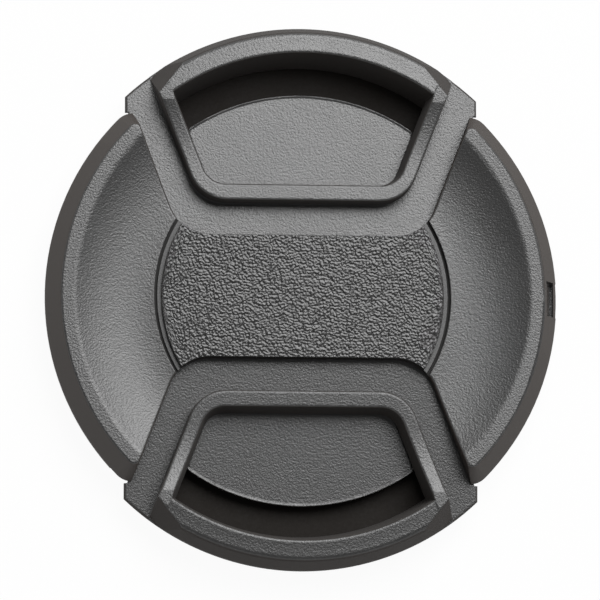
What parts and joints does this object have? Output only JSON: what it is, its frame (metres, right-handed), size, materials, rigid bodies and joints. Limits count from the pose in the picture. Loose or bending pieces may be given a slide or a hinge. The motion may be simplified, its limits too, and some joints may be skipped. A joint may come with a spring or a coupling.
{
  "type": "camera lens cap",
  "caption": "Round push-in lens cap with sprung pinch levers that bite a lens's filter thread, a grained centre disc between dished crescents, and a tether slot in the rim.",
  "frame": {"origin": "on the cap's axis at the lower end of the spigot that enters the lens", "axes": "+Z out of the face, away from the lens; +Y along the levers' travel, towards the upper lever; +X towards the tether slot"},
  "size_m": [0.0604, 0.0644, 0.0078],
  "materials": {
    "shell_plastic": "fine matte grain, smooth on the outer cone",
    "lever_plastic": "fine matte grain",
    "disc_plastic": "leather-like moulded grain",
    "cover_plastic": "plain dark matte",
    "spring_steel": "drawn wire"
  },
  "bodies": {
    "shell": {"front_shell": "shell_plastic", "centre_disc": "disc_plastic", "back_cover": "cover_plastic", "upper_spring_left": "spring_steel", "upper_spring_right": "spring_steel", "lower_spring_left": "spring_steel", "lower_spring_right": "spring_steel"},
    "upper_lever_body": {"upper_lever": "lever_plastic"},
    "lower_lever_body": {"lower_lever": "lever_plastic"}
  },
  "joints": [
    {"name": "upper_pinch", "type": "slide", "parent": "shell", "child": "upper_lever_body", "axis": [0, -1, 0], "range_m": [0, 0.003], "stiffness_N_per_m": 300, "springref_m": -0.004, "deforming": ["upper_spring_left", "upper_spring_right"]},
    {"name": "lower_pinch", "type": "slide", "parent": "shell", "child": "lower_lever_body", "axis": [0, 1, 0], "range_m": [0, 0.003], "stiffness_N_per_m": 300, "springref_m": -0.004, "deforming": ["lower_spring_left", "lower_spring_right"]}
  ]
}
